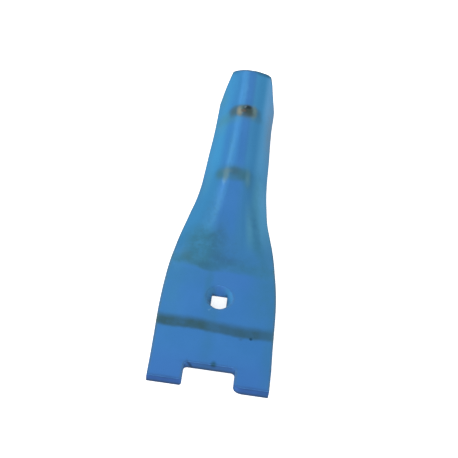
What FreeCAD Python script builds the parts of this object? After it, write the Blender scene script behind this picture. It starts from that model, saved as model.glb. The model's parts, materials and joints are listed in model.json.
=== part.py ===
import FreeCAD, Part
import math
import os

# Guide plate of a plough skimmer, pressed from one piece of steel plate.
# Lengths are in millimetres and angles in degrees.
# While it is drawn, X runs across the plate, Y from the tips of the legs to the neck's end,
# and Z out of the foot's front face, which lies at Z = 0. At the end it is laid down.

# Plate
plate_thickness = 10.0
plate_length = 339.0
front_edge_radius = 0.9

# Foot: the flat lower part, with two legs beside a notch
foot_half_width = 48.7
foot_tip_half_width = 49.6
foot_narrowest = 55.5
notch_half_width = 20.8
notch_depth = 16.7
notch_corner_radius = 3.0
leg_inner_corner_radius = 3.0

# Square hole for a bolt with a countersunk head and a square neck
hole_height = 80.7
hole_side = 13.0
hole_corner_radius = 1.0
countersink_diameter = 23.0
countersink_angle = 60.0
countersink_edge_radius = 0.5

# Neck: a channel with a narrow flat crest and two flanks bent backwards
neck_start = 219.5
neck_bend_radius = 24.0
neck_bend_angle = 62.0
neck_crest_half_width = 2.0
neck_blank_half_width = 37.8
neck_end_blank_half_width = 32.8
neck_sections = 6

# Flare: where the flat foot turns into the neck
flare_start = 97.0
flare_lead = 4.2
flare_lead_power = 4
flare_blank_end = 200.0
flare_sections = 16
crest_spread_start = 281.5
crest_spread = 14.3
crest_spread_power = 1.5

# Taper that cuts the flanks away towards the neck's end
taper_length = 34.0
taper_end_half_width = 17.6
taper_face_lean = 50.0
taper_corner_radius = 2.0

# Accuracy of the search for the resting angle, and of comparing places
rest_search_steps = 400
same_place = 0.001


def clamp(fraction):
    """The fraction, kept between 0 and 1."""
    return min(max(fraction, 0.0), 1.0)


def smooth(fraction):
    """Ease from 0 to 1 with no slope at either end."""
    kept = clamp(fraction)
    return kept * kept * (3.0 - 2.0 * kept)


def gentle(fraction):
    """Ease from 0 to 1 with neither slope nor curvature at either end."""
    return fraction ** 3 * (fraction * (6.0 * fraction - 15.0) + 10.0)


def spread(first, last, count):
    """Evenly spaced places from first to last, both included."""
    return [first + (last - first) * index / count for index in range(count + 1)]


def bend_angle(station):
    """Angle in radians by which the flanks are bent back at a station along Y."""
    fraction = clamp((station - flare_start) / (neck_start - flare_start))
    lead = 1.0 + flare_lead * (1.0 - fraction) ** flare_lead_power
    return math.radians(neck_bend_angle) * gentle(fraction) * lead


def bend_zone():
    """Width of the bent strip beside the crest, measured on the flat blank."""
    return neck_bend_radius * math.radians(neck_bend_angle)


def crest_half_width(station):
    """Half width of the flat crest, which spreads towards the foot."""
    fraction = max(crest_spread_start - station, 0.0) / (crest_spread_start - flare_start)
    return neck_crest_half_width + crest_spread * fraction ** crest_spread_power


def neck_blank(station):
    """Half width of the neck on the flat blank, which narrows towards the end."""
    fraction = clamp((station - flare_blank_end) / (plate_length - flare_blank_end))
    return neck_blank_half_width + (neck_end_blank_half_width - neck_blank_half_width) * fraction


def blank_half_width(station):
    """Half width of the flat blank, from the foot's narrowest place upwards."""
    fraction = smooth((station - foot_narrowest) / (flare_blank_end - foot_narrowest))
    return foot_half_width + (neck_blank(station) - foot_half_width) * fraction


def front_profile(station):
    """Half of a section's front line: the crest's end, the bend's middle and end, and the edge."""
    angle = bend_angle(station)
    crest = crest_half_width(station)
    flank = blank_half_width(station) - crest - bend_zone()
    if angle > 0.0:
        radius = bend_zone() / angle
        bend_middle = (crest + radius * math.sin(angle / 2.0), radius * (math.cos(angle / 2.0) - 1.0))
        bend_end = (crest + radius * math.sin(angle), radius * (math.cos(angle) - 1.0))
    else:
        bend_middle = (crest + bend_zone() / 2.0, 0.0)
        bend_end = (crest + bend_zone(), 0.0)
    edge = (bend_end[0] + flank * math.cos(angle), bend_end[1] - flank * math.sin(angle))
    return (crest, 0.0), bend_middle, bend_end, edge


def set_back(point, angle):
    """The point of the back that lies behind a front point, where the surface leans by angle."""
    return point[0] - plate_thickness * math.sin(angle), point[1] - plate_thickness * math.cos(angle)


def back_profile(station):
    """Half of a section's back line, one plate thickness behind the front line."""
    angle = bend_angle(station)
    leans = [0.0, angle / 2.0, angle, angle]
    return [set_back(point, lean) for point, lean in zip(front_profile(station), leans)]


def section_wire(station):
    """Closed outline of the plate at a station: front line, edge, back line, edge."""
    front = front_profile(station)
    back = back_profile(station)

    def place(point, side):
        return FreeCAD.Vector(side * point[0], station, point[1])

    def line(start, end):
        return Part.LineSegment(start, end).toShape()

    def bend(start, middle, end):
        if bend_angle(station) > 0.0:
            return Part.Arc(start, middle, end).toShape()
        return line(start, end)

    left_front, right_front = ([place(point, side) for point in front] for side in (-1, 1))
    left_back, right_back = ([place(point, side) for point in back] for side in (-1, 1))
    return Part.Wire([
        line(left_front[3], left_front[2]),
        bend(left_front[2], left_front[1], left_front[0]),
        line(left_front[0], right_front[0]),
        bend(right_front[0], right_front[1], right_front[2]),
        line(right_front[2], right_front[3]),
        line(right_front[3], right_back[3]),
        line(right_back[3], right_back[2]),
        bend(right_back[2], right_back[1], right_back[0]),
        line(right_back[0], left_back[0]),
        bend(left_back[0], left_back[1], left_back[2]),
        line(left_back[2], left_back[3]),
        line(left_back[3], left_front[3]),
    ])


def flare_and_neck():
    """The plate above the foot, lofted through its sections.

    Two flat sections below the flare keep its surfaces level where it starts. They are cut away.
    """
    step = (neck_start - flare_start) / flare_sections
    stations = [flare_start - 2.0 * step, flare_start - step]
    stations += spread(flare_start, neck_start, flare_sections)
    stations += spread(neck_start, plate_length, neck_sections)[1:]
    loft = Part.makeLoft([section_wire(station) for station in stations], True, False)
    corner = FreeCAD.Vector(-2.0 * foot_half_width, 0.0, -2.0 * plate_thickness)
    below = Part.makeBox(4.0 * foot_half_width, flare_start, 4.0 * plate_thickness, corner)
    return loft.cut(below)


def upright_edges(solid, x, y):
    """The edges that stand on the points (x, y) and (-x, y)."""
    found = []
    for edge in solid.Edges:
        ends = [vertex.Point for vertex in edge.Vertexes]
        on_point = all(math.hypot(abs(end.x) - x, end.y - y) < same_place for end in ends)
        if on_point and abs(ends[0].z - ends[-1].z) > same_place:
            found.append(edge)
    return found


def foot_side(side):
    """One long side of the foot, from the start of the flare to the leg's tip."""

    def at(x, y):
        return FreeCAD.Vector(side * x, y, -plate_thickness)

    stations = spread(foot_narrowest, flare_start, 4)
    below, above = flare_start - same_place, flare_start + same_place
    closing = blank_half_width(above) - blank_half_width(below)
    upper = Part.BSplineCurve()
    upper.interpolate(Points=[at(blank_half_width(station), station) for station in stations],
                      InitialTangent=FreeCAD.Vector(0.0, 1.0, 0.0),
                      FinalTangent=FreeCAD.Vector(side * closing, above - below, 0.0))
    quarter = (foot_tip_half_width - foot_half_width) / 4.0
    lower = Part.Arc(at(foot_half_width, foot_narrowest),
                     at(foot_half_width + quarter, foot_narrowest / 2.0),
                     at(foot_tip_half_width, 0.0))
    return [upper.toShape(), lower.toShape()]


def foot():
    """The flat foot with its notch, up to the start of the flare."""
    top = blank_half_width(flare_start)
    line_points = [(foot_tip_half_width, 0.0), (notch_half_width, 0.0), (notch_half_width, notch_depth),
                   (-notch_half_width, notch_depth), (-notch_half_width, 0.0), (-foot_tip_half_width, 0.0)]
    corners = [FreeCAD.Vector(x, y, -plate_thickness) for x, y in line_points]
    bottom = [Part.LineSegment(start, end).toShape() for start, end in zip(corners, corners[1:])]
    top_line = Part.LineSegment(FreeCAD.Vector(-top, flare_start, -plate_thickness),
                                FreeCAD.Vector(top, flare_start, -plate_thickness)).toShape()
    edges = foot_side(1) + bottom + foot_side(-1) + [top_line]
    outline = Part.Wire(Part.__sortEdges__(edges))
    plate = Part.Face(outline).extrude(FreeCAD.Vector(0.0, 0.0, plate_thickness))
    plate = plate.makeFillet(notch_corner_radius, upright_edges(plate, notch_half_width, notch_depth))
    return plate.makeFillet(leg_inner_corner_radius, upright_edges(plate, notch_half_width, 0.0))


def taper_points(side):
    """Where a taper starts on the neck's end and where it leaves the flank's edge."""
    turn = math.asin((taper_end_half_width - neck_crest_half_width) / neck_bend_radius)
    depth = neck_bend_radius * (1.0 - math.cos(turn))
    edge = front_profile(plate_length - taper_length)[3]
    start = FreeCAD.Vector(side * taper_end_half_width, plate_length, -depth)
    return start, FreeCAD.Vector(side * edge[0], plate_length - taper_length, edge[1])


def taper_cut(side):
    """Block beyond the plane that trims one flank towards the neck's end."""
    start, end = taper_points(side)
    lean = math.radians(taper_face_lean)
    through = FreeCAD.Vector(side * math.sin(lean), 0.0, math.cos(lean))
    along = (start - end).normalize()
    outwards = along.cross(through) * side
    reach = 3.0 * plate_thickness
    low = end - along * plate_thickness
    high = start + along * plate_thickness
    corners = [low + through * reach, low - through * reach, high - through * reach, high + through * reach]
    face = Part.Face(Part.makePolygon(corners + corners[:1]))
    return face.extrude(outwards * reach)


def taper_corner_edges(solid):
    """The edges through the plate's thickness where the tapers meet the neck's end."""
    found = []
    for edge in solid.Edges:
        ends = [vertex.Point for vertex in edge.Vertexes]
        for side in (-1, 1):
            start = taper_points(side)[0]
            starts_here = any(point.isEqual(start, same_place) for point in ends)
            in_end_face = all(abs(point.y - plate_length) < same_place for point in ends)
            goes_back = min(point.z for point in ends) < start.z - same_place
            if starts_here and in_end_face and goes_back:
                found.append(edge)
    return found


def front_rim(solid):
    """The edges where the front meets the plate's cut sides, all the way round."""
    least_rise = math.cos(math.radians(neck_bend_angle + 1.0))
    front = []
    for face in solid.Faces:
        u_first, u_last, v_first, v_last = face.ParameterRange
        if face.normalAt((u_first + u_last) / 2.0, (v_first + v_last) / 2.0).z > least_rise:
            front.append(face)

    def front_count(edge):
        owners = solid.ancestorsOfType(edge, Part.Face)
        return sum(any(owner.isSame(face) for face in front) for owner in owners)

    return [edge for edge in solid.Edges if front_count(edge) == 1]


def square_hole():
    """The square hole, longer than the plate is thick."""
    half = hole_side / 2.0
    corner = FreeCAD.Vector(-half, hole_height - half, -2.0 * plate_thickness)
    block = Part.makeBox(hole_side, hole_side, 4.0 * plate_thickness, corner)
    corners = upright_edges(block, half, hole_height - half) + upright_edges(block, half, hole_height + half)
    return block.makeFillet(hole_corner_radius, corners)


def countersink():
    """Cone that opens the square hole towards the front."""
    flare_per_depth = math.tan(math.radians(countersink_angle / 2.0))
    depth = (countersink_diameter - hole_side) / 2.0 / flare_per_depth
    mouth = countersink_diameter / 2.0 + plate_thickness * flare_per_depth
    return Part.makeCone(hole_side / 2.0, mouth, depth + plate_thickness,
                         FreeCAD.Vector(0.0, hole_height, -depth))


def countersink_edge(solid):
    """The round edge of the countersink in the front face."""
    centre = FreeCAD.Vector(0.0, hole_height, 0.0)
    found = []
    for edge in solid.Edges:
        points = edge.discretize(3)
        if all(abs((point - centre).Length - countersink_diameter / 2.0) < same_place for point in points):
            found.append(edge)
    return found


def skimmer_plate():
    """The whole plate as it is drawn, with its front rim rounded and its hole cut."""
    plate = foot().fuse(flare_and_neck())
    plate = plate.cut([taper_cut(-1), taper_cut(1)])
    plate = plate.makeFillet(taper_corner_radius, taper_corner_edges(plate))
    plate = plate.makeFillet(front_edge_radius, front_rim(plate))
    plate = plate.cut(square_hole().fuse(countersink()))
    plate = plate.makeFillet(countersink_edge_radius, countersink_edge(plate))
    return plate.Solids[0]


def resting_angle():
    """How far the neck rises when the plate lies on its legs' tips and its flanks' back edges."""
    steepest = 0.0
    for station in spread(flare_start, plate_length - taper_length, rest_search_steps):
        lowest = back_profile(station)[3][1]
        steepest = max(steepest, (-plate_thickness - lowest) / station)
    return math.degrees(math.atan(steepest))


def laid_down(solid):
    """The plate lying front up, with the origin below the middle of its bounding box."""
    turned = solid.rotated(FreeCAD.Vector(), FreeCAD.Vector(1.0, 0.0, 0.0), resting_angle())
    box = turned.optimalBoundingBox()
    return turned.translated(FreeCAD.Vector(-box.Center.x, -box.Center.y, -box.ZMin))


os.makedirs("parts", exist_ok=True)
laid_down(skimmer_plate()).exportStep("parts/skimmer_plate.step")
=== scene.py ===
import json
import math
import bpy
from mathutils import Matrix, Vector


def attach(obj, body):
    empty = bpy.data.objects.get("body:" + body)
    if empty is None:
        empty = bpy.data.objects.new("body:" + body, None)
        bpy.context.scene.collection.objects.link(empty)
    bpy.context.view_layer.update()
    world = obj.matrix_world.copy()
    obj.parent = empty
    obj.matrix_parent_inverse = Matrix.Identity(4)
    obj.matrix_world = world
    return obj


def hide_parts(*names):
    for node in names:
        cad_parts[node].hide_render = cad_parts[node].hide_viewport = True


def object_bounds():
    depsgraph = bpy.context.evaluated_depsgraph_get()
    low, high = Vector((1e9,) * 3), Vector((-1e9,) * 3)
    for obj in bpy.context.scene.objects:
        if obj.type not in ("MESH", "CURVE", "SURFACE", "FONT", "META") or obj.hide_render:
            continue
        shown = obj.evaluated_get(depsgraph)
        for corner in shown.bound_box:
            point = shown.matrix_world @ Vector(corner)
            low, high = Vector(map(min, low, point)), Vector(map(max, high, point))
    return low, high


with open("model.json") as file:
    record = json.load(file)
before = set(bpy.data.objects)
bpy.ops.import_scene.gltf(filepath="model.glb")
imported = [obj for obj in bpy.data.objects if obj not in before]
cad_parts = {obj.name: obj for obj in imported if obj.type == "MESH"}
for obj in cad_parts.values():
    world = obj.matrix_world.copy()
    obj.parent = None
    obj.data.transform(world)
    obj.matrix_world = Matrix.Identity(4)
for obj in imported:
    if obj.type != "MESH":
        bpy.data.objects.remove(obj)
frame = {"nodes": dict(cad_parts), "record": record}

from types import SimpleNamespace

import bpy
from mathutils import Matrix, Vector

cad_low, cad_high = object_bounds()

# ---------------------------------------------------------------- plate frame
# The plate's own frame, in millimetres: X across, Y from the legs' tips to the
# neck's end, Z out of the foot's front face. It is found from the bolt hole.
# A place along Y is called a station.
HOLE_HEIGHT = 80.7
MM = 0.001

mounts = {mount["name"]: mount for mount in frame["record"]["mounts"]}
hole = mounts["bolt_hole"]
normal = Vector(hole["axis"]).normalized()
across = Vector((1.0, 0.0, 0.0))
along = normal.cross(across)
turn = Matrix((across, along, normal)).transposed()
origin = Vector(hole["pos_m"]) - along * HOLE_HEIGHT * MM


def place(x, y, z):
    """The point of the shared frame at a place of the plate's own frame, given in millimetres."""
    return origin + turn @ Vector((x, y, z)) * MM


# --------------------------------------------------------------------- camera
PHOTO_WIDTH = 458         # pixels
FOCAL_PIXELS = 1153.5
SENSOR_WIDTH = 36.0       # millimetres
CLIP_START = 0.01         # metres
CLIP_END = 50.0
VIEW_LEAN = 35.0          # degrees between the line of sight and the foot's normal
VIEW_ROLL = 8.2           # degrees
VIEW_DISTANCE = 1000.0    # millimetres, from the place that the camera aims at
AIM_STATION = 150.6
AIM_ASIDE = -0.37


def add_camera():
    """The camera of the photo."""
    data = bpy.data.cameras.new("photo_camera")
    data.sensor_width = SENSOR_WIDTH
    data.lens = FOCAL_PIXELS * SENSOR_WIDTH / PHOTO_WIDTH
    data.clip_start = CLIP_START
    data.clip_end = CLIP_END
    camera = bpy.data.objects.new("photo_camera", data)
    bpy.context.scene.collection.objects.link(camera)
    lean, roll = math.radians(VIEW_LEAN), math.radians(VIEW_ROLL)
    back = turn @ Vector((0.0, -math.sin(lean), math.cos(lean)))
    right = turn @ Vector((1.0, 0.0, 0.0))
    up = back.cross(right)
    rolled_right = right * math.cos(roll) + up * math.sin(roll)
    rolled_up = up * math.cos(roll) - right * math.sin(roll)
    pose = Matrix((rolled_right, rolled_up, back)).transposed().to_4x4()
    pose.translation = place(AIM_ASIDE, AIM_STATION, 0.0) + back * VIEW_DISTANCE * MM
    camera.matrix_world = pose
    bpy.context.scene.camera = camera


# --------------------------------------------------------------------- lights
WORLD_STRENGTH = 0.15
LIT_STATION = 170.0       # the station that every light faces
# name, direction in the plate's own frame, distance and size in metres, power in watts
LIGHTS = (
    ("front", (0.0, -0.8, 0.6), 1.4, (0.8, 0.8), 9.3),
    ("left_side", (-0.94, 0.0, 0.34), 1.5, (0.7, 0.7), 19.5),
    ("right_side", (0.94, 0.0, 0.34), 1.5, (0.7, 0.7), 14.0),
    ("back", (0.0, 0.9, 0.42), 1.4, (0.8, 0.8), 3.3),
    ("left_back", (-0.27, 0.574, 0.76), 1.3, (0.2, 0.5), 1.8),
)
FLOOR_HALF = 6.0          # metres
FLOOR_DROP = 0.0002       # metres below the plate's lowest point
FLOOR_COLOUR = (0.92, 0.92, 0.92, 1.0)
FLOOR_ROUGHNESS = 0.9
FLOOR_GLOW = 0.8
WHITE = (1.0, 1.0, 1.0, 1.0)


def add_light(name, direction, distance, size, power):
    """A soft white light that shines on the plate."""
    data = bpy.data.lights.new(name, "AREA")
    data.shape = "RECTANGLE"
    data.size, data.size_y = size
    data.energy = power
    light = bpy.data.objects.new(name, data)
    bpy.context.scene.collection.objects.link(light)
    towards = (turn @ Vector(direction)).normalized()
    light.location = place(0.0, LIT_STATION, 0.0) + towards * distance
    light.rotation_mode = "QUATERNION"
    light.rotation_quaternion = towards.to_track_quat("Z", "Y")
    light.visible_camera = False
    # the two at the sides are low, and would wash the flat foot out in a side view
    light.visible_glossy = not name.endswith("_side")


def add_world():
    """Even white surroundings."""
    world = bpy.data.worlds.new("surroundings")
    world.use_nodes = True
    background = world.node_tree.nodes["Background"]
    background.inputs["Color"].default_value = WHITE
    background.inputs["Strength"].default_value = WORLD_STRENGTH
    bpy.context.scene.world = world


def add_floor():
    """A plain pale floor, which throws no light back at the plate."""
    mesh = bpy.data.meshes.new("floor")
    corners = ((-1, -1), (1, -1), (1, 1), (-1, 1))
    mesh.from_pydata([(FLOOR_HALF * x, FLOOR_HALF * y, 0.0) for x, y in corners], [], [(0, 1, 2, 3)])
    floor = bpy.data.objects.new("floor", mesh)
    bpy.context.scene.collection.objects.link(floor)
    material = bpy.data.materials.new("floor_white")
    material.use_nodes = True
    shader = material.node_tree.nodes["Principled BSDF"]
    shader.inputs["Base Color"].default_value = FLOOR_COLOUR
    shader.inputs["Roughness"].default_value = FLOOR_ROUGHNESS
    shader.inputs["Specular IOR Level"].default_value = 0.0
    shader.inputs["Emission Color"].default_value = WHITE
    shader.inputs["Emission Strength"].default_value = FLOOR_GLOW
    mesh.materials.append(material)
    floor.location.z = cad_low.z - FLOOR_DROP
    floor.visible_diffuse = False
    floor.visible_glossy = False


# ------------------------------------------------------------------ materials
class Graph:
    """Adds shader nodes to a material, one per call."""

    def __init__(self, material):
        self.tree = material.node_tree

    def put(self, socket, value):
        """Links a socket to the value, or sets it. A colour of three numbers is made opaque."""
        if isinstance(value, bpy.types.NodeSocket):
            self.tree.links.new(value, socket)
        elif isinstance(value, (tuple, list)) and len(value) == 3 and len(socket.default_value) == 4:
            socket.default_value = (*value, 1.0)
        else:
            socket.default_value = value

    def node(self, kind, inputs, **settings):
        made = self.tree.nodes.new("ShaderNode" + kind)
        for name, value in settings.items():
            setattr(made, name, value)
        for key, value in inputs.items():
            self.put(made.inputs[key], value)
        return made

    def math(self, operation, *values):
        return self.node("Math", dict(enumerate(values)), operation=operation).outputs[0]

    def add(self, a, b):
        return self.math("ADD", a, b)

    def minus(self, a, b):
        return self.math("SUBTRACT", a, b)

    def times(self, a, b):
        return self.math("MULTIPLY", a, b)

    def most(self, a, b):
        return self.math("MAXIMUM", a, b)

    def dot(self, a, b):
        return self.node("VectorMath", {0: a, 1: b}, operation="DOT_PRODUCT").outputs["Value"]

    def ramp(self, value, start, end, low=0.0, high=1.0):
        """Rises smoothly from low, where the value is start, to high, where it is end."""
        inputs = {"Value": value, "From Min": start, "From Max": end, "To Min": low, "To Max": high}
        return self.node("MapRange", inputs, interpolation_type="SMOOTHSTEP").outputs[0]

    def spot(self, where, centre, radii, angle, soft):
        """1 inside an ellipse, fading to 0 outside it. soft is a share of the radii.

        It is worked out in plain numbers, because a material with this many spots
        renders black when each of them keeps vectors of its own.
        """
        tilt = math.radians(angle)
        sides = ((math.cos(tilt) / radii[0], math.sin(tilt) / radii[0]),
                 (-math.sin(tilt) / radii[1], math.cos(tilt) / radii[1]))
        squares = 0.0
        for share_x, share_y in sides:
            reach = self.dot(where, (share_x, share_y, 0.0))
            away = self.minus(reach, share_x * centre[0] + share_y * centre[1])
            squares = self.math("MULTIPLY_ADD", away, away, squares)
        off = self.math("SQRT", squares)
        return self.ramp(off, 1.0 + soft, 1.0 - soft)

    def profile(self, value, knots):
        """A smooth curve through knots of value and result."""
        places, results = zip(*knots)
        least, most = min(results), max(results)
        inputs = {"Value": value, "From Min": places[0], "From Max": places[-1]}
        share = self.node("MapRange", inputs).outputs[0]
        made = self.node("FloatCurve", {"Value": share})
        points = made.mapping.curves[0].points
        for i, (at, result) in enumerate(knots):
            point = ((at - places[0]) / (places[-1] - places[0]), (result - least) / (most - least))
            if i in (0, len(knots) - 1):
                points[0 if i == 0 else -1].location = point
            else:
                points.new(*point)
        made.mapping.update()
        inputs = {"Value": made.outputs[0], "To Min": least, "To Max": most}
        return self.node("MapRange", inputs).outputs[0]

    def noise(self, vector, scale, detail, roughness, output="Fac"):
        inputs = {"Vector": vector, "Scale": scale, "Detail": detail, "Roughness": roughness}
        return self.node("TexNoise", inputs).outputs[output]

    def mix(self, share, a, b):
        """Colour b laid over colour a."""
        # the node has sockets for numbers, vectors and colours: 6, 7 and output 2 are the colours'
        made = self.node("Mix", {}, data_type="RGBA")
        self.put(made.inputs[0], share)
        self.put(made.inputs[6], a)
        self.put(made.inputs[7], b)
        return made.outputs[2]


def linear(red, green, blue):
    """Linear colour of an 8-bit sRGB colour."""
    def one(level):
        share = level / 255.0
        return share / 12.92 if share <= 0.04045 else ((share + 0.055) / 1.055) ** 2.4
    return one(red), one(green), one(blue)


PAINT = linear(61, 123, 188)
PAINT_THIN = linear(64, 126, 192)
PAINT_GREY = linear(60, 124, 178)
# the cut faces are painted lighter than the front, a painted light, and the notch's face lighter still against
# the shade it lies in; FACE_FOOT makes them darker and greyer towards their back edge
END_FACE_LIT = linear(86, 142, 238)
NOTCH_FACE_LIT = linear(88, 149, 227)
FACE_FOOT = linear(80, 108, 148)
# painted light and shade of the countersink's walls
CONE_LEFT_SHADED = linear(69, 125, 166)
CONE_TOP_LIT = linear(81, 141, 208)
CONE_RIGHT_LIT = linear(71, 140, 190)
WORN = linear(86, 114, 118)
# tints of the bent plate, most of them painted light and shade: the neck's flanks painted lighter where light
# falls on them, the crest's shoulders painted lighter and darker along its highlight; the last darkens the
# legs near their tips.
# stations where they begin and are full, places across likewise, share and colour
TINTS_AND_PAINTED_LIGHT = (
    ((100.0, 150.0), (-9.0, -20.0), 0.75, linear(63, 142, 190)),
    ((100.0, 150.0), (0.0, 11.0), 0.7, linear(62, 128, 172)),
    ((118.0, 158.0), (12.0, 20.0), 0.8, linear(78, 147, 182)),
    ((130.0, 170.0), (21.0, 29.0), 0.8, linear(86, 158, 204)),
    ((200.0, 235.0), (0.0, -5.0), 0.9, linear(65, 136, 199)),
    ((200.0, 235.0), (-13.0, -20.0), 0.9, linear(67, 151, 204)),
    ((200.0, 235.0), (3.5, 8.0), 0.9, linear(67, 139, 191)),
    ((200.0, 235.0), (12.0, 20.0), 0.9, linear(87, 157, 206)),
    ((270.0, 310.0), (-1.0, -5.0), 0.4, linear(67, 142, 198)),
    ((270.0, 310.0), (4.0, 8.0), 0.5, linear(68, 148, 200)),
    ((270.0, 300.0), (14.0, 20.0), 0.7, linear(108, 168, 218)),
    ((34.0, 8.0), (-70.0, -60.0), 0.7, linear(64, 117, 188)),
)

FILM_DIRT = linear(60, 108, 130)
FILM_THIN = linear(66, 136, 172)
# the film's lower edge: its station by the place across, how soft it is there, and where it fades
FILM_LINE = ((-50.0, 108.5), (-30.0, 108.0), (-20.0, 106.0), (-12.0, 104.0), (-4.0, 104.6),
             (6.0, 105.0), (16.0, 105.0), (26.0, 104.0), (36.0, 101.0), (50.0, 99.0))
LINE_SOFTNESS = ((-50.0, 3.5), (-26.0, 3.0), (-14.0, 1.6), (12.0, 1.4), (28.0, 2.4), (50.0, 3.5))
LINE_FADE = (-0.6, 1.6)
# stains on the front, with a painted highlight and painted shade in the flare among them: centre, radii,
# angle, softness, share and colour
FILM_AND_PAINTED_LIGHT = (
    ((-21.5, 129.0), (14.0, 22.0), 6.0, 0.5, 0.9, linear(58, 120, 148)),
    ((-32.0, 112.0), (20.0, 8.0), 0.0, 0.6, 0.8, linear(59, 118, 142)),
    # painted shade, darker where the highlight runs down the flare
    ((-18.0, 164.0), (6.0, 16.0), -8.0, 0.9, 0.5, linear(56, 116, 166)),
    ((-7.0, 129.0), (7.0, 25.0), 0.0, 0.7, 0.7, linear(55, 109, 142)),
    ((17.0, 119.0), (8.0, 6.0), 0.0, 0.8, 0.4, linear(56, 116, 150)),
    ((3.0, 131.0), (9.0, 13.0), 0.0, 0.8, 0.45, linear(56, 114, 156)),
    ((-13.5, 140.0), (3.0, 6.5), -35.0, 0.8, 0.6, linear(54, 108, 136)),
    ((2.0, 116.5), (11.0, 5.0), -8.0, 0.8, 0.75, linear(55, 105, 142)),
    ((-14.0, 109.0), (9.0, 4.5), -8.0, 0.7, 0.75, linear(52, 101, 128)),
    ((-33.5, 118.0), (4.0, 6.0), 25.0, 0.9, 0.5, linear(62, 108, 122)),
    # painted highlight along the right bend of the flare
    ((16.0, 160.0), (2.6, 17.0), 8.0, 0.9, 0.45, linear(84, 150, 184)),
    ((-23.0, 111.0), (6.0, 4.0), 0.0, 0.8, 0.45, linear(54, 108, 134)),
    ((14.0, 111.0), (24.0, 5.5), 0.0, 0.7, 0.65, linear(56, 117, 152)),
    ((38.0, 112.0), (15.0, 14.0), 0.0, 0.7, 0.5, linear(58, 122, 156)),
    # darker lines along the right bend, beside that highlight
    ((27.5, 134.0), (4.0, 12.0), 22.0, 0.9, 0.6, linear(55, 121, 150)),
    ((22.0, 158.0), (3.0, 18.0), 14.0, 0.9, 0.65, linear(54, 116, 158)),
)
# streaks and tones outside the film, and painted light: highlights, painted shade beside them, lighter flanks,
# and painted shade along the lower edges. In the same form, as are all the marks below
STREAKS_AND_PAINTED_LIGHT = (
    ((4.0, 97.5), (20.0, 8.0), 0.0, 0.8, 0.55, linear(68, 122, 196)),
    ((-10.5, 88.0), (3.2, 23.0), 0.0, 0.8, 0.55, linear(56, 119, 158)),
    ((37.0, 138.0), (5.0, 17.0), 15.0, 0.9, 0.6, linear(78, 144, 194)),
    # painted light on the right flank
    ((25.5, 194.0), (4.5, 16.0), 4.0, 0.9, 0.45, linear(98, 170, 218)),
    # painted glint on the highlight line
    ((-10.7, 202.5), (1.2, 4.0), -8.0, 0.9, 0.35, linear(116, 182, 224)),
    ((-3.5, 66.0), (4.5, 10.0), 0.0, 0.9, 0.45, linear(60, 122, 160)),
    ((-4.5, 34.0), (4.5, 19.0), 0.0, 0.9, 0.35, linear(58, 120, 160)),
    ((-43.0, 100.0), (9.0, 42.0), 5.0, 0.9, 0.5, linear(60, 130, 168)),
    ((-26.0, 99.0), (26.0, 9.0), 0.0, 0.9, 0.4, linear(59, 125, 168)),
    ((40.0, 94.0), (12.0, 30.0), -6.0, 0.95, 0.6, linear(58, 122, 156)),
    ((46.0, 50.0), (5.0, 50.0), 0.0, 0.9, 0.5, linear(60, 122, 162)),
    ((25.5, 278.0), (4.5, 28.0), 0.0, 0.9, 0.6, linear(122, 152, 178)),
    ((-24.0, 312.0), (4.0, 14.0), 10.0, 0.9, 0.5, linear(84, 150, 172)),
    ((12.0, 336.8), (9.0, 2.6), 0.0, 0.7, 0.75, linear(40, 98, 132)),
    ((-16.5, 336.8), (4.5, 2.2), 0.0, 0.8, 0.6, linear(52, 108, 146)),
    ((0.0, 338.2), (19.0, 1.5), 0.0, 0.6, 0.6, linear(62, 104, 140)),
    ((-20.0, 274.0), (5.0, 12.0), 0.0, 0.9, 0.4, linear(84, 150, 176)),
    # painted highlight down the left shoulder of the flare
    ((-13.8, 170.0), (2.4, 15.0), -9.0, 0.9, 0.45, linear(82, 154, 204)),
    # painted shade between the highlight and the crest
    ((-8.6, 192.0), (2.2, 9.0), -8.0, 0.9, 0.4, linear(58, 128, 180)),
    # the neck's highlight, painted less blue
    ((-8.5, 240.0), (2.6, 18.0), 0.0, 0.9, 0.4, linear(66, 136, 168)),
    # painted light on the left flank
    ((-25.5, 206.0), (3.0, 14.0), -6.0, 0.9, 0.4, linear(76, 154, 190)),
    # a painted highlight and a painted shade that move the neck's highlight towards the crest
    ((-3.0, 316.0), (1.8, 16.0), 0.0, 0.9, 0.35, linear(86, 158, 214)),
    ((-9.5, 316.0), (1.8, 16.0), 0.0, 0.9, 0.35, linear(54, 128, 186)),
    # painted light on the left flank
    ((-15.0, 318.0), (3.5, 18.0), 0.0, 0.9, 0.4, linear(72, 160, 212)),
    # painted shade along the legs' and the notch's lower edges, where the front rounds over
    ((-35.0, 0.5), (16.0, 3.0), 0.0, 0.7, 0.45, linear(62, 112, 182)),
    ((35.0, 0.5), (16.0, 3.0), 0.0, 0.7, 0.45, linear(62, 112, 182)),
    ((0.0, 16.0), (22.0, 2.6), 0.0, 0.6, 0.3, linear(60, 112, 178)),
)
# the two grey and brown marks on the neck, with a painted glint in the upper one
LOWER_MARK = (
    ((-3.0, 219.5), (12.0, 3.2), 0.0, 0.8, 0.3, linear(62, 118, 146)),
    ((-2.0, 211.5), (15.0, 7.3), 0.0, 0.45, 0.7, linear(61, 115, 138)),
    ((9.5, 206.0), (4.0, 9.5), 12.0, 0.8, 0.5, linear(64, 120, 140)),
    ((-15.0, 210.0), (3.8, 6.0), 0.0, 0.8, 0.65, linear(68, 120, 130)),
    ((-2.5, 214.5), (5.0, 4.5), 0.0, 0.7, 0.75, linear(62, 102, 121)),
    ((5.0, 211.5), (4.5, 5.0), 0.0, 0.8, 0.6, linear(58, 106, 120)),
    ((-10.0, 209.5), (2.3, 7.5), 0.0, 0.7, 0.65, linear(104, 140, 148)),
    ((-9.5, 214.5), (4.0, 2.5), 0.0, 0.8, 0.4, linear(98, 128, 132)),
    ((9.8, 209.0), (2.0, 8.0), 4.0, 0.8, 0.5, linear(92, 142, 162)),
)
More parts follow.
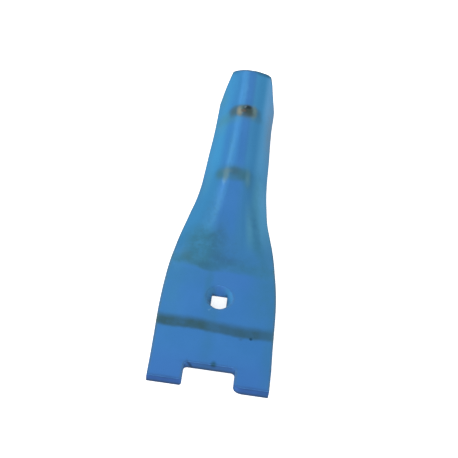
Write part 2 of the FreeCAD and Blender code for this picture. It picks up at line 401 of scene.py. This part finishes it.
UPPER_MARK_AND_GLINT = (
    ((-14.5, 278.0), (9.0, 6.0), 0.0, 0.9, 0.45, linear(77, 138, 148)),
    ((7.0, 279.5), (8.0, 4.0), 0.0, 0.9, 0.35, linear(76, 118, 126)),
    ((-1.5, 286.9), (13.2, 7.4), 0.0, 0.35, 0.85, linear(74, 106, 120)),
    ((11.0, 284.5), (3.2, 6.5), 8.0, 0.8, 0.5, linear(66, 118, 148)),
    ((-11.5, 284.5), (3.0, 5.5), 0.0, 0.8, 0.6, linear(74, 104, 110)),
    ((-6.0, 286.2), (2.5, 5.0), 0.0, 0.7, 0.92, linear(142, 144, 128)),
    ((7.2, 286.5), (2.6, 7.0), 0.0, 0.7, 0.8, linear(110, 136, 134)),
    ((2.0, 284.0), (5.0, 4.0), 0.0, 0.7, 0.75, linear(66, 84, 92)),
    ((-3.6, 290.5), (2.0, 2.6), 0.0, 0.7, 0.7, linear(92, 122, 118)),
    ((0.9, 289.0), (4.5, 4.8), 0.0, 0.5, 0.94, linear(58, 66, 62)),
    ((3.4, 286.0), (2.4, 3.6), 0.0, 0.7, 0.7, linear(60, 78, 72)),
    ((1.4, 291.3), (2.6, 1.8), 0.0, 0.6, 0.9, linear(30, 44, 48)),
    ((-2.8, 286.8), (2.3, 1.7), 0.0, 0.6, 0.75, linear(100, 88, 74)),
    # painted glint in the dark middle of the mark
    ((-1.3, 291.5), (0.9, 1.6), -20.0, 0.6, 0.7, linear(108, 128, 140)),
)
# dark specks on the band, and a light scratch on the foot
SPECKS = (
    ((29.9, 45.0), (1.3, 1.3), 0.0, 0.6, 0.9, linear(26, 68, 96)),
    ((22.0, 43.5), (1.5, 1.2), 0.0, 0.9, 0.4, linear(50, 90, 120)),
    ((16.5, 46.0), (2.2, 1.0), 0.0, 0.9, 0.35, linear(50, 90, 110)),
    ((-6.4, 68.2), (1.3, 0.35), 48.0, 0.8, 0.42, linear(120, 172, 200)),
    ((-7.6, 67.3), (0.9, 0.35), -35.0, 0.8, 0.3, linear(118, 168, 196)),
)
# painted shade along the lower edges, where the front rounds over, and marks that run over the lower edges and
# down the cut faces. The second number counts the height on along the surface.
EDGE_SHADE_AND_MARKS = (
    # painted shade along the lower edges
    ((-35.0, 0.2), (15.5, 1.7), 0.0, 0.6, 0.6, linear(54, 98, 160)),
    ((35.0, 0.2), (15.5, 1.7), 0.0, 0.6, 0.6, linear(54, 98, 160)),
    ((0.0, 16.6), (20.0, 1.7), 0.0, 0.6, 0.45, linear(56, 100, 164)),
    ((2.8, 16.5), (2.0, 3.3), 0.0, 0.8, 0.85, linear(34, 82, 96)),
    ((-16.1, 12.2), (1.3, 5.0), 25.0, 0.8, 0.75, linear(34, 54, 72)),
)
# the rolled band across the foot: station of its middle, its strength, and its lower and upper reach
BAND_LINE = ((-50.0, 51.2), (-38.0, 50.8), (-30.0, 50.9), (-20.0, 51.3), (-12.0, 51.1), (-4.0, 50.3),
             (8.0, 49.6), (18.0, 49.0), (28.0, 48.5), (38.0, 49.0), (50.0, 49.6))
BAND_STRENGTH = ((-50.0, 0.92), (-36.0, 0.98), (-28.0, 0.84), (-20.0, 0.97), (-12.0, 0.97), (-5.0, 0.8),
                 (6.0, 0.76), (16.0, 0.8), (30.0, 0.86), (38.0, 0.7), (50.0, 0.55))
BAND_BELOW, BAND_ABOVE = (1.6, 5.6), (2.3, 10.0)
BAND_COLOUR = linear(54, 90, 101)

# how far a face has turned to the front, or to the legs' tips, where it begins to count as such and is full
FRONT_TURN = (-0.25, 0.1)
END_TURN = (0.6, 0.95)
# noises: scale in 1 / mm, detail and roughness
FINE_NOISE = (0.9, 6.0, 0.65)
SMALL_NOISE = (0.35, 5.0, 0.6)
CLOUD_NOISE = (0.035, 3.0, 0.5)
PATCHY_NOISE = (0.11, 5.0, 0.6)
WANDER_NOISE = (0.16, 5.0, 0.6)
DENT_NOISE = (0.06, 2.0, 0.55)
FREE_WANDER = 5.0         # millimetres, times a noise that runs from -0.5 to 0.5
CALM_WANDER = 2.0
NOTCH_STATIONS = (6.0, 12.0)     # between the legs' end faces and the notch's
FACE_FOOT_HEIGHTS = (-4.5, -9.2)
FACE_FOOT_SHARE = 0.9
CONE_RADIUS = 12.5
CONE_DEPTH = 1.2
CONE_SHARE = 0.9
OVER_EDGE_STATIONS = (24.0, 20.0)
ROUNDING = 0.0012         # metres
WEAR_REACH = 0.0036       # metres
BEVEL_SAMPLES = 6
WEAR_TURN = (0.998, 0.93)
LEAST_WEAR_BELOW = 0.12
HOLE_RIM = 18.0
HOLE_RIM_SPARED = 0.6
METALLIC = 0.12
SPECULAR = 0.25
SPECULAR_TINT = (0.35, 0.75, 1.0)
ROUGHNESS = (0.27, 0.35)
DULL_ROUGHNESS = 0.3
FINE_HEIGHT = 0.02
DENT_HEIGHT = 0.6
BUMP_STRENGTH = 0.35
BUMP_DISTANCE = 0.001


def fields(g):
    """Places on the plate, the way its surface faces, and the noises that the paint goes by."""
    inverse = turn.transposed()
    coordinates = g.node("TexCoord", {})
    own = g.node("Mapping", {"Vector": coordinates.outputs["Object"], "Location": -(inverse @ origin) / MM,
                             "Rotation": inverse.to_euler(), "Scale": (1.0 / MM,) * 3}).outputs[0]
    x, y, z = g.node("SeparateXYZ", {"Vector": own}).outputs
    front = g.ramp(g.dot(coordinates.outputs["Normal"], normal), *FRONT_TURN)
    end_face = g.ramp(g.dot(coordinates.outputs["Normal"], -along), *END_TURN)

    # places that wander a little, so that no stain has a drawn edge
    wander = g.noise(own, *WANDER_NOISE, output="Color")
    wander = g.node("VectorMath", {0: wander, 1: (0.5, 0.5, 0.5)}, operation="SUBTRACT").outputs[0]
    free, calm = [g.node("VectorMath", {0: wander, 1: (far, far, 0.0), 2: own},
                         operation="MULTIPLY_ADD").outputs[0] for far in (FREE_WANDER, CALM_WANDER)]
    calm_y = g.node("SeparateXYZ", {"Vector": calm}).outputs[1]
    fine, small, cloud, patchy = [g.noise(own, *noise)
                                  for noise in (FINE_NOISE, SMALL_NOISE, CLOUD_NOISE, PATCHY_NOISE)]
    return SimpleNamespace(own=own, x=x, y=y, z=z, front=front, end_face=end_face, free=free, calm=calm,
                           calm_y=calm_y, fine=fine, small=small, cloud=cloud, patchy=patchy)


def laid_spots(g, spot_rows, where, limit):
    """The place of each spot within a limit, with its share and colour: stains, and painted light and shade.
    """
    for centre, radii, angle, soft, share, tint in spot_rows:
        yield g.times(g.spot(where, centre, radii, angle, soft), limit), share, tint


def base_coat(g, f):
    """The blue, a little uneven in thickness and in tone, with painted light and shade on the neck, and the
    faces that the legs and the notch end in, painted lighter as a painted light.
    """
    colour = g.mix(g.ramp(f.cloud, 0.35, 0.65), PAINT, PAINT_THIN)
    colour = g.mix(g.ramp(f.small, 0.45, 0.75, 0.0, 0.3), colour, PAINT_GREY)
    # painted light and shade: these tints lighten the flanks and set the highlight along the crest
    for stations, places, share, tint in TINTS_AND_PAINTED_LIGHT:
        colour = g.mix(g.times(g.ramp(f.y, *stations), g.ramp(f.x, *places, 0.0, share)), colour, tint)
    # painted light: the end faces lighter than the front, the notch's lighter still; darker and greyer towards
    # the back
    face = g.mix(g.ramp(f.y, *NOTCH_STATIONS), END_FACE_LIT, NOTCH_FACE_LIT)
    face = g.mix(g.ramp(f.z, *FACE_FOOT_HEIGHTS, 0.0, FACE_FOOT_SHARE), face, FACE_FOOT)
    return g.mix(f.end_face, colour, face)


def film_streaks_and_painted_light(g, f, colour):
    """The film, which ends at a line above the bolt hole, and the streaks, both with painted highlights and
    painted shade among their stains. The film is dull.
    """
    line = g.minus(f.calm_y, g.profile(f.x, FILM_LINE))
    line = g.math("DIVIDE", line, g.profile(f.x, LINE_SOFTNESS))
    above_line = g.times(g.ramp(line, *LINE_FADE), f.front)
    dull = 0.0
    # the tables hold painted highlights and painted shade as well as stains
    for spot_rows, where, limit in ((FILM_AND_PAINTED_LIGHT, f.calm, above_line), (STREAKS_AND_PAINTED_LIGHT, f.free, f.front)):
        for spot, share, tint in laid_spots(g, spot_rows, where, limit):
            spot = g.times(spot, g.ramp(f.patchy, 0.3, 0.6, 0.6 * share, share))
            colour = g.mix(spot, colour, tint)
            if spot_rows is FILM_AND_PAINTED_LIGHT:
                dull = g.most(dull, spot)

    # small patches where the film is dirtier or thinner
    colour = g.mix(g.times(dull, g.ramp(f.small, 0.5, 0.7, 0.0, 0.5)), colour, FILM_DIRT)
    colour = g.mix(g.times(dull, g.ramp(f.patchy, 0.55, 0.35, 0.0, 0.25)), colour, FILM_THIN)
    return colour, dull


def cone_and_band(g, f, colour):
    """The cone round the bolt hole, painted lighter against the shade inside it, with painted shade on its
    left wall and painted light on its top and right, and the rolled band across the foot.
    """
    cone = g.spot(f.own, (0.0, HOLE_HEIGHT), (CONE_RADIUS, CONE_RADIUS), 0.0, 0.05)
    cone = g.times(cone, g.ramp(f.z, 0.0, -CONE_DEPTH))
    # painted light and shade: the cone's left wall darker, its top and right lighter
    cone_light_and_shade = g.mix(g.ramp(f.x, 1.0, 7.0), g.mix(g.ramp(f.x, -7.0, -1.0), CONE_LEFT_SHADED, CONE_TOP_LIT), CONE_RIGHT_LIT)
    colour = g.mix(g.times(cone, CONE_SHARE), colour, cone_light_and_shade)

    # a soft upper edge, a firmer lower one
    off = g.minus(f.calm_y, g.profile(f.x, BAND_LINE))
    band = g.times(g.ramp(off, -BAND_BELOW[1], -BAND_BELOW[0]), g.ramp(off, BAND_ABOVE[1], BAND_ABOVE[0]))
    band = g.times(g.times(band, f.front), g.profile(f.x, BAND_STRENGTH))
    return g.mix(g.times(band, g.ramp(f.patchy, 0.3, 0.6, 0.82, 1.0)), colour, BAND_COLOUR)


def marks_and_painted_light(g, f, colour, dull):
    """Painted shade and marks on the lower edges, the two marks on the neck with a painted glint, and specks.
    The last two are duller too.
    """
    over_edge = g.node("CombineXYZ", {0: f.x, 1: g.add(f.y, f.z)}).outputs[0]
    limit = g.times(f.front, g.ramp(f.y, *OVER_EDGE_STATIONS))
    for spot, share, tint in laid_spots(g, EDGE_SHADE_AND_MARKS, over_edge, limit):
        colour = g.mix(g.times(spot, share), colour, tint)
    for spot, share, tint in laid_spots(g, LOWER_MARK + UPPER_MARK_AND_GLINT + SPECKS, f.calm, f.front):
        colour = g.mix(g.times(spot, share), colour, tint)
        dull = g.most(dull, g.times(spot, 0.6 * share))
    return colour, dull


def rubbed_edges(g, f, colour):
    """Thin and rubbed paint along the edges, and the normal of the edges' rounding."""
    rounded = g.node("Bevel", {"Radius": ROUNDING}, samples=BEVEL_SAMPLES).outputs[0]
    surface = g.node("NewGeometry", {}).outputs["Normal"]
    wide = g.node("Bevel", {"Radius": WEAR_REACH}, samples=BEVEL_SAMPLES).outputs[0]
    worn = g.times(g.ramp(g.dot(wide, surface), *WEAR_TURN), g.ramp(f.small, 0.3, 0.6, 0.55, 0.95))
    # the lower edges and the cone's rim are rubbed less
    worn = g.times(worn, g.ramp(g.dot(wide, -along), 0.35, 0.1, LEAST_WEAR_BELOW, 1.0))
    by_hole = g.spot(f.own, (0.0, HOLE_HEIGHT), (HOLE_RIM, HOLE_RIM), 0.0, 0.1)
    worn = g.times(worn, g.minus(1.0, g.times(by_hole, HOLE_RIM_SPARED)))
    return g.mix(worn, colour, WORN), rounded


def blue_paint(material):
    """Thin blue paint over rolled steel, with a film, a dark band, marks, rubbed edges, and painted light and
    shade.
    """
    material.use_nodes = True
    material.node_tree.nodes.clear()
    g = Graph(material)
    f = fields(g)
    colour = base_coat(g, f)
    colour, dull = film_streaks_and_painted_light(g, f, colour)
    colour = cone_and_band(g, f, colour)
    colour, dull = marks_and_painted_light(g, f, colour, dull)
    colour, rounded = rubbed_edges(g, f, colour)

    shader = g.node("BsdfPrincipled", {"Base Color": colour, "Metallic": METALLIC})
    roughness = g.ramp(f.fine, 0.3, 0.7, *ROUGHNESS)
    g.put(shader.inputs["Roughness"], g.add(roughness, g.times(dull, DULL_ROUGHNESS)))
    g.put(shader.inputs["Specular IOR Level"], SPECULAR)
    g.put(shader.inputs["Specular Tint"], SPECULAR_TINT)
    height = g.add(g.times(f.fine, FINE_HEIGHT), g.times(g.noise(f.own, *DENT_NOISE), DENT_HEIGHT))
    bump = g.node("Bump", {"Height": height, "Strength": BUMP_STRENGTH, "Distance": BUMP_DISTANCE,
                           "Normal": rounded})
    g.put(shader.inputs["Normal"], bump.outputs[0])
    output = g.node("OutputMaterial", {})
    g.put(output.inputs["Surface"], shader.outputs[0])


# ---------------------------------------------------------------------- plate
# Sideways drift of the plate's left and right edges that pressing has left, as station and millimetres.
LEFT_DRIFT = ((-40.0, 1.0), (0.0, 0.7), (40.0, 0.0), (75.0, -0.5), (98.0, -0.95), (112.0, -1.15),
              (125.0, -1.35), (142.0, -2.15), (155.0, -2.3), (172.0, -2.2), (185.0, -1.7),
              (205.0, -1.3), (224.0, -1.2), (243.0, -1.05), (268.0, -0.4), (290.0, -0.15), (311.0, 0.0),
              (325.0, -0.2), (339.0, -0.6), (380.0, -0.6))
RIGHT_DRIFT = ((-40.0, 1.0), (0.0, 0.7), (12.0, 0.6), (40.0, 0.0), (60.0, -0.3), (79.0, -0.3),
               (94.0, -0.55), (111.0, -1.25), (120.0, -1.25), (130.0, -1.0), (140.0, -0.85),
               (148.0, -1.0), (158.0, -1.35), (167.0, -1.7), (177.0, -1.5), (187.0, -1.0),
               (215.0, -0.55), (226.0, -0.35), (240.0, 0.05), (253.0, 0.15), (273.0, 0.1),
               (285.0, 0.25), (297.0, 0.75), (311.0, 0.7), (322.0, 0.9), (332.0, 1.9), (339.0, 2.0),
               (380.0, 2.0))
# how far out the drift is full, by station: the foot is stiff, the neck's end moves as a whole
DRIFT_FULL = ((-40.0, 44.0), (60.0, 44.0), (120.0, 24.0), (180.0, 24.0), (300.0, 24.0), (325.0, 17.0),
              (339.0, 15.0), (380.0, 15.0))
DRIFT_NONE = 0.45         # share of that width which stays
WIDEST = 49.6
NOTCH_HALF_WIDTH = 20.8
EVEN_CORNER = 3.0         # radius of the legs' inner corners in the solid
CORNER_FROM = -0.005      # what still counts as on such a corner, past its ends
CORNER_TO = EVEN_CORNER + 0.01
# the corners as they are: side, and the corner's reach across and along the plate
LEG_CORNERS = ((1.0, 7.5, 4.8), (-1.0, 2.2, 1.8))
RIGHT_LEG_FROM = NOTCH_HALF_WIDTH - 0.1
TIP_STATIONS = (6.0, 1.0)
RIGHT_TIP_LEAN = 0.53     # how far the right leg's end face leans out at the back
THICKNESS = 10.0
FRONT_RIM = 1.2           # the rounded rim of the front, which doesn't lean


def smooth(value, start, end):
    """Rises smoothly from 0, where the value is start, to 1, where it is end."""
    share = min(max((value - start) / (end - start), 0.0), 1.0)
    return share * share * (3.0 - 2.0 * share)


def curve(knots, at):
    """A smooth line through knots of place and value. The first and last knots only give it its slope."""
    last = len(knots) - 2
    i = next((k for k in range(1, last) if at < knots[k + 1][0]), last - 1)
    (a, va), (b, vb), (c, vc), (d, vd) = knots[i - 1:i + 3]
    width = c - b
    slope_b, slope_c = (vc - va) / (c - a) * width, (vd - vb) / (d - b) * width
    t = min(max((at - b) / width, 0.0), 1.0)
    return ((2 * t ** 3 - 3 * t ** 2 + 1) * vb + (t ** 3 - 2 * t ** 2 + t) * slope_b
            + (3 * t ** 2 - 2 * t ** 3) * vc + (t ** 3 - t ** 2) * slope_c)


def leg_corner(x, y):
    """A point on a leg's even inner corner, moved on to the corner of its real reach."""
    for side, wide, tall in LEG_CORNERS:
        u, v = NOTCH_HALF_WIDTH + EVEN_CORNER - side * x, EVEN_CORNER - y
        if CORNER_FROM <= u <= CORNER_TO and CORNER_FROM <= v <= CORNER_TO:
            inset, angle = EVEN_CORNER - math.hypot(u, v), math.atan2(v, u)
            lean = Vector((math.cos(angle) / wide, math.sin(angle) / tall)).normalized()
            u = wide * math.cos(angle) - lean.x * inset
            v = tall * math.sin(angle) - lean.y * inset
            return side * (NOTCH_HALF_WIDTH + wide - u), tall - v
    return x, y


def pressed(x, y, z):
    """Where a point of the even plate lies on the real one, which the press has left a little uneven."""
    x, y = leg_corner(x, y)
    if x > RIGHT_LEG_FROM:
        out = RIGHT_TIP_LEAN * smooth(-z, FRONT_RIM, THICKNESS) * smooth(y, *TIP_STATIONS)
        # straight ahead along the floor, so that the legs' tips stay on it
        y, z = y - out * along.y, z + out * along.z
    full = curve(DRIFT_FULL, y)
    share = smooth(abs(x), full * DRIFT_NONE, full)
    drift = curve(RIGHT_DRIFT if x > 0.0 else LEFT_DRIFT, y)
    return min(max(x + share * drift, -WIDEST), WIDEST), y, z


def pressed_plate(node):
    """The plate with the unevenness that pressing has left in its outline."""
    mesh = node.data.copy()
    inverse = turn.transposed()
    for vertex in mesh.vertices:
        own = inverse @ (vertex.co - origin) / MM
        vertex.co = place(*pressed(*own))
    mesh.update()
    piece = bpy.data.objects.new("pressed_plate", mesh)
    bpy.context.scene.collection.objects.link(piece)
    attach(piece, "root")
    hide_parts("skimmer_plate")
    return piece


# ----------------------------------------------------------------- everything
bpy.context.scene.view_settings.view_transform = "Standard"
add_camera()
add_world()
for light in LIGHTS:
    add_light(*light)
add_floor()

plate = pressed_plate(frame["nodes"]["skimmer_plate"])
paint = bpy.data.materials.new("blue_paint")
blue_paint(paint)
for material_slot in plate.material_slots:
    material_slot.material = paint
